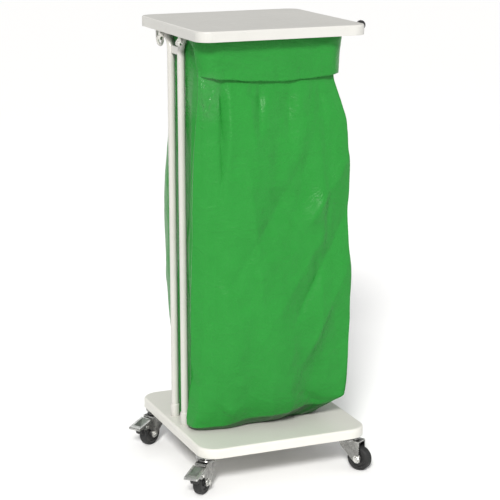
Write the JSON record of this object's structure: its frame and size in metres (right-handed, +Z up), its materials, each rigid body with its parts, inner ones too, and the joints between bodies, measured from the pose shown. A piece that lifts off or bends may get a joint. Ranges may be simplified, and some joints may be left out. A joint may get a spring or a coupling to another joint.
{
  "type": "linen trolley",
  "caption": "Upright linen trolley: moulded base on swivel castors, tube uprights, square ring with a film bag folded over it, and a hinged lid with a knob.",
  "frame": {"origin": "on the floor under the centre of the base", "axes": "+X to the front (lid knob), -X to the rear (uprights and hinge), +Y to the left, +Z up"},
  "size_m": [0.4764, 0.4007, 0.9],
  "materials": {
    "base_plastic": "satin",
    "lid_plastic": "satin",
    "frame_paint": "satin",
    "tyre_rubber": "matte",
    "brake_rubber": "matte",
    "wheel_plastic": "satin",
    "knob_plastic": "gloss",
    "plug_plastic": "matte",
    "bag_film": "satin",
    "castor_zinc": "satin",
    "ball_steel": "polished",
    "fastener_zinc": "satin"
  },
  "bodies": {
    "root": {"bag": "bag_film", "bag_ring": "frame_paint", "base_tray": "base_plastic", "castor_balls": "ball_steel", "castor_head_front_left": "castor_zinc", "castor_head_front_right": "castor_zinc", "castor_head_rear_left": "castor_zinc", "castor_head_rear_right": "castor_zinc", "foot_ferrule_left": "frame_paint", "foot_ferrule_right": "frame_paint", "hinge_lug_left": "frame_paint", "hinge_lug_right": "frame_paint", "hinge_pin_left": "fastener_zinc", "hinge_pin_right": "fastener_zinc", "rear_hook": "frame_paint", "stem_rings": "fastener_zinc", "tube_plugs": "plug_plastic", "upright_left": "frame_paint", "upright_right": "frame_paint", "upright_screws": "fastener_zinc", "web_plate": "frame_paint"},
    "lid": {"lid_shell": "lid_plastic", "hinge_arm_left": "frame_paint", "hinge_arm_right": "frame_paint", "hinge_rivets": "fastener_zinc", "knob_stem": "fastener_zinc", "lid_knob": "knob_plastic", "stem_nut": "fastener_zinc"},
    "fork_rear_left": {"castor_fork_rear_left": "castor_zinc", "axle_bolt_rear_left": "fastener_zinc", "axle_nut_rear_left": "fastener_zinc", "axle_sleeve_rear_left": "fastener_zinc", "brake_pin_rear_left": "fastener_zinc"},
    "wheel_rear_left": {"wheel_core_rear_left": "wheel_plastic", "tyre_rear_left": "tyre_rubber"},
    "pedal_rear_left": {"brake_pedal_rear_left": "castor_zinc", "brake_shoe_rear_left": "brake_rubber"},
    "fork_rear_right": {"castor_fork_rear_right": "castor_zinc", "axle_bolt_rear_right": "fastener_zinc", "axle_nut_rear_right": "fastener_zinc", "axle_sleeve_rear_right": "fastener_zinc", "brake_pin_rear_right": "fastener_zinc"},
    "wheel_rear_right": {"wheel_core_rear_right": "wheel_plastic", "tyre_rear_right": "tyre_rubber"},
    "pedal_rear_right": {"brake_pedal_rear_right": "castor_zinc", "brake_shoe_rear_right": "brake_rubber"},
    "fork_front_right": {"castor_fork_front_right": "castor_zinc", "axle_bolt_front_right": "fastener_zinc", "axle_nut_front_right": "fastener_zinc", "axle_sleeve_front_right": "fastener_zinc"},
    "wheel_front_right": {"wheel_core_front_right": "wheel_plastic", "tyre_front_right": "tyre_rubber"},
    "fork_front_left": {"castor_fork_front_left": "castor_zinc", "axle_bolt_front_left": "fastener_zinc", "axle_nut_front_left": "fastener_zinc", "axle_sleeve_front_left": "fastener_zinc"},
    "wheel_front_left": {"wheel_core_front_left": "wheel_plastic", "tyre_front_left": "tyre_rubber"}
  },
  "joints": [
    {"name": "lid_hinge", "type": "hinge", "parent": "root", "child": "lid", "pos_m": [-0.1689, 0, 0.866], "axis": [0, -1, 0], "range_deg": [0, 100]},
    {"name": "swivel_rear_left", "type": "hinge", "parent": "root", "child": "fork_rear_left", "pos_m": [-0.156, 0.149, 0.066], "axis": [0, 0, 1], "continuous": true},
    {"name": "wheel_spin_rear_left", "type": "hinge", "parent": "fork_rear_left", "child": "wheel_rear_left", "pos_m": [-0.17529, 0.13647, 0.025], "axis": [0.5446, -0.8387, 0], "continuous": true},
    {"name": "brake_rear_left", "type": "hinge", "parent": "fork_rear_left", "child": "pedal_rear_left", "pos_m": [-0.19626, 0.12286, 0.047], "axis": [-0.5446, 0.8387, 0], "range_deg": [0, 14]},
    {"name": "swivel_rear_right", "type": "hinge", "parent": "root", "child": "fork_rear_right", "pos_m": [-0.156, -0.149, 0.066], "axis": [0, 0, 1], "continuous": true},
    {"name": "wheel_spin_rear_right", "type": "hinge", "parent": "fork_rear_right", "child": "wheel_rear_right", "pos_m": [-0.17254, -0.16498, 0.025], "axis": [0.6947, -0.7193, 0], "continuous": true},
    {"name": "brake_rear_right", "type": "hinge", "parent": "fork_rear_right", "child": "pedal_rear_right", "pos_m": [-0.19053, -0.18234, 0.047], "axis": [-0.6947, 0.7193, 0], "range_deg": [0, 14]},
    {"name": "swivel_front_right", "type": "hinge", "parent": "root", "child": "fork_front_right", "pos_m": [0.156, -0.149, 0.066], "axis": [0, 0, 1], "continuous": true},
    {"name": "wheel_spin_front_right", "type": "hinge", "parent": "fork_front_right", "child": "wheel_front_right", "pos_m": [0.16819, -0.16851, 0.025], "axis": [0.848, 0.5299, 0], "continuous": true},
    {"name": "swivel_front_left", "type": "hinge", "parent": "root", "child": "fork_front_left", "pos_m": [0.156, 0.149, 0.066], "axis": [0, 0, 1], "continuous": true},
    {"name": "wheel_spin_front_left", "type": "hinge", "parent": "fork_front_left", "child": "wheel_front_left", "pos_m": [0.17362, 0.13422, 0.025], "axis": [0.6428, 0.766, 0], "continuous": true}
  ]
}
